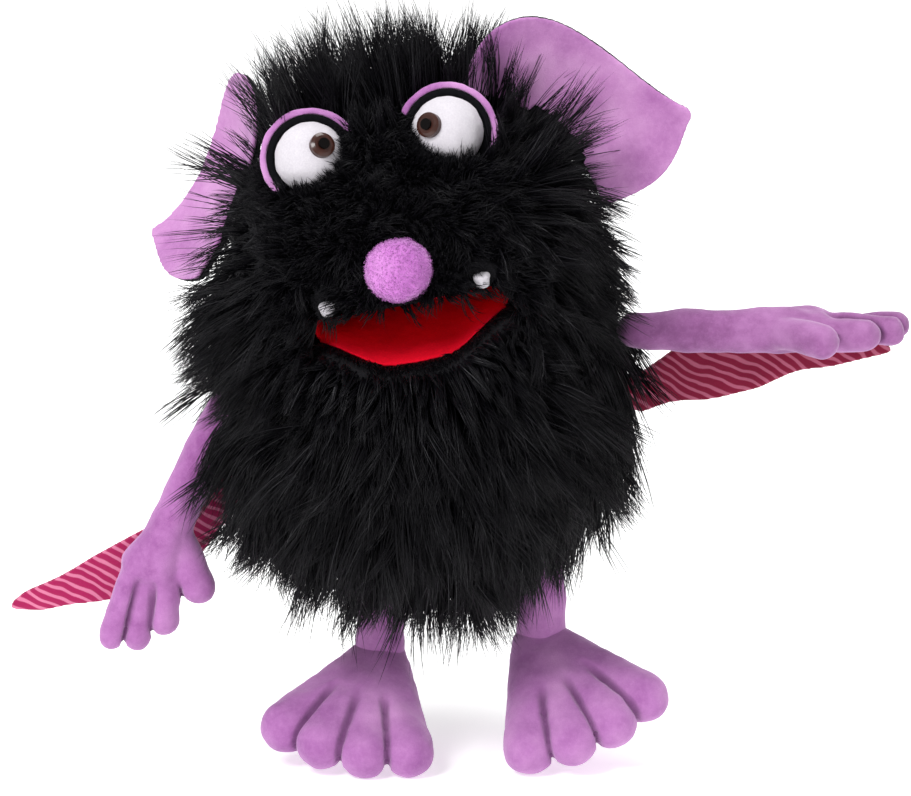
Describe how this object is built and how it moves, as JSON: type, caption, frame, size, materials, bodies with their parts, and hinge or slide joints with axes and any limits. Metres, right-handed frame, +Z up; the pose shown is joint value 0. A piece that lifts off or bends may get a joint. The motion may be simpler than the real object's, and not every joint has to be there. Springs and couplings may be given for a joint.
{
  "type": "moving mouth puppet",
  "caption": "Long-haired bat hand puppet with a hinged mouth, turning head, floppy ears and wings, and swinging arms, hands, legs and feet.",
  "frame": {"origin": "on the floor that the toes just touch, under the middle of the overall width and depth", "axes": "+Z up, the puppet faces -Y, its own left hand is towards +X"},
  "size_m": [0.437, 0.2094, 0.3613],
  "materials": {
    "black_pile": "matte",
    "lavender_velour": "matte",
    "black_cloth": "matte",
    "striped_cloth": "matte",
    "red_felt": "matte",
    "mouth_board": "matte",
    "padding": "matte",
    "white_felt": "matte",
    "brown_iris": "gloss",
    "black_pupil": "gloss",
    "eye_washer": "matte"
  },
  "bodies": {
    "body": {"body_fur": "black_pile", "body_lining": "black_cloth", "opening_hem": "black_cloth"},
    "neck": {"neck_band": "black_cloth"},
    "head": {"head_fur": "black_pile", "head_padding": "padding", "palate_lining": "red_felt", "upper_mouth_board": "mouth_board", "finger_pocket": "black_cloth", "mouth_fold": "red_felt", "mouth_gusset_left": "red_felt", "mouth_gusset_right": "red_felt", "nose": "lavender_velour", "fang_left": "white_felt", "fang_right": "white_felt", "eyeball_left": "white_felt", "iris_left": "brown_iris", "pupil_left": "black_pupil", "eye_washer_left": "eye_washer", "eyelid_lining_left": "black_cloth", "eyelid_left": "lavender_velour", "eyeball_right": "white_felt", "iris_right": "brown_iris", "pupil_right": "black_pupil", "eye_washer_right": "eye_washer", "eyelid_lining_right": "black_cloth", "eyelid_right": "lavender_velour"},
    "jaw": {"chin_fur": "black_pile", "mouth_floor_lining": "red_felt", "lower_mouth_board": "mouth_board", "thumb_pocket": "black_cloth"},
    "ear_left": {"ear_front_left": "lavender_velour", "ear_back_left": "black_cloth"},
    "arm_left": {"arm_left": "lavender_velour"},
    "hand_left": {"hand_left": "lavender_velour"},
    "wing_left": {"wing_front_left": "striped_cloth", "wing_back_left": "striped_cloth"},
    "leg_left": {"leg_left": "lavender_velour"},
    "foot_left": {"foot_upper_left": "lavender_velour", "foot_sole_left": "lavender_velour"},
    "ear_right": {"ear_front_right": "lavender_velour", "ear_back_right": "black_cloth"},
    "arm_right": {"arm_right": "lavender_velour"},
    "hand_right": {"hand_right": "lavender_velour"},
    "wing_right": {"wing_front_right": "striped_cloth", "wing_back_right": "striped_cloth"},
    "leg_right": {"leg_right": "lavender_velour"},
    "foot_right": {"foot_upper_right": "lavender_velour", "foot_sole_right": "lavender_velour"}
  },
  "joints": [
    {"name": "head_turn", "type": "hinge", "parent": "body", "child": "neck", "pos_m": [-0.023, 0.00175, 0.228], "axis": [-0.1908, 0, 0.9816], "range_deg": [-25, 25]},
    {"name": "head_nod", "type": "hinge", "parent": "neck", "child": "head", "pos_m": [-0.023, 0.00175, 0.228], "axis": [0.9816, 0, 0.1908], "range_deg": [-15, 15]},
    {"name": "jaw_open", "type": "hinge", "parent": "head", "child": "jaw", "pos_m": [-0.023, 0.00175, 0.228], "axis": [0.9816, 0, 0.1908], "range_deg": [-18, 20], "deforming": ["mouth_gusset_left", "mouth_gusset_right"]},
    {"name": "ear_left_flop", "type": "hinge", "parent": "head", "child": "ear_left", "pos_m": [0.04601, 0.00975, 0.302], "axis": [-0.7314, 0, 0.682], "range_deg": [-10, 60]},
    {"name": "shoulder_left", "type": "hinge", "parent": "body", "child": "arm_left", "pos_m": [0.08299, 0.00175, 0.20683], "axis": [0, 1, 0], "range_deg": [-30, 66]},
    {"name": "wrist_left", "type": "hinge", "parent": "arm_left", "child": "hand_left", "pos_m": [0.13699, 0.00175, 0.20683], "axis": [0, -1, 0], "range_deg": [-30, 30]},
    {"name": "wing_left_swing", "type": "hinge", "parent": "body", "child": "wing_left", "pos_m": [0.07925, 0.02875, 0.16842], "axis": [0, 1, 0], "range_deg": [-20, 20]},
    {"name": "hip_left", "type": "hinge", "parent": "body", "child": "leg_left", "pos_m": [0.0395, 0.00175, 0.0975], "axis": [1, 0, 0], "range_deg": [-25, 25]},
    {"name": "ankle_left", "type": "hinge", "parent": "leg_left", "child": "foot_left", "pos_m": [0.0384, 0.00175, 0.0485], "axis": [0.9135, 0.4067, 0], "range_deg": [-25, 25]},
    {"name": "ear_right_flop", "type": "hinge", "parent": "head", "child": "ear_right", "pos_m": [-0.10652, 0.05175, 0.25676], "axis": [-0.3256, 0, -0.9455], "range_deg": [-45, 10]},
    {"name": "shoulder_right", "type": "hinge", "parent": "body", "child": "arm_right", "pos_m": [-0.11334, 0.00175, 0.16867], "axis": [0, 1, 0], "range_deg": [-12, 70]},
    {"name": "wrist_right", "type": "hinge", "parent": "arm_right", "child": "hand_right", "pos_m": [-0.1353, 0.00175, 0.11934], "axis": [0.9511, 0, -0.309], "range_deg": [-30, 15]},
    {"name": "wing_right_swing", "type": "hinge", "parent": "body", "child": "wing_right", "pos_m": [-0.09548, 0.02875, 0.13445], "axis": [0, 1, 0], "range_deg": [-20, 20]},
    {"name": "hip_right", "type": "hinge", "parent": "body", "child": "leg_right", "pos_m": [-0.037, 0.00175, 0.0865], "axis": [1, 0, 0], "range_deg": [-25, 25]},
    {"name": "ankle_right", "type": "hinge", "parent": "leg_right", "child": "foot_right", "pos_m": [-0.0399, 0.00175, 0.04065], "axis": [-0.9563, 0.2924, 0], "range_deg": [-25, 25]}
  ]
}
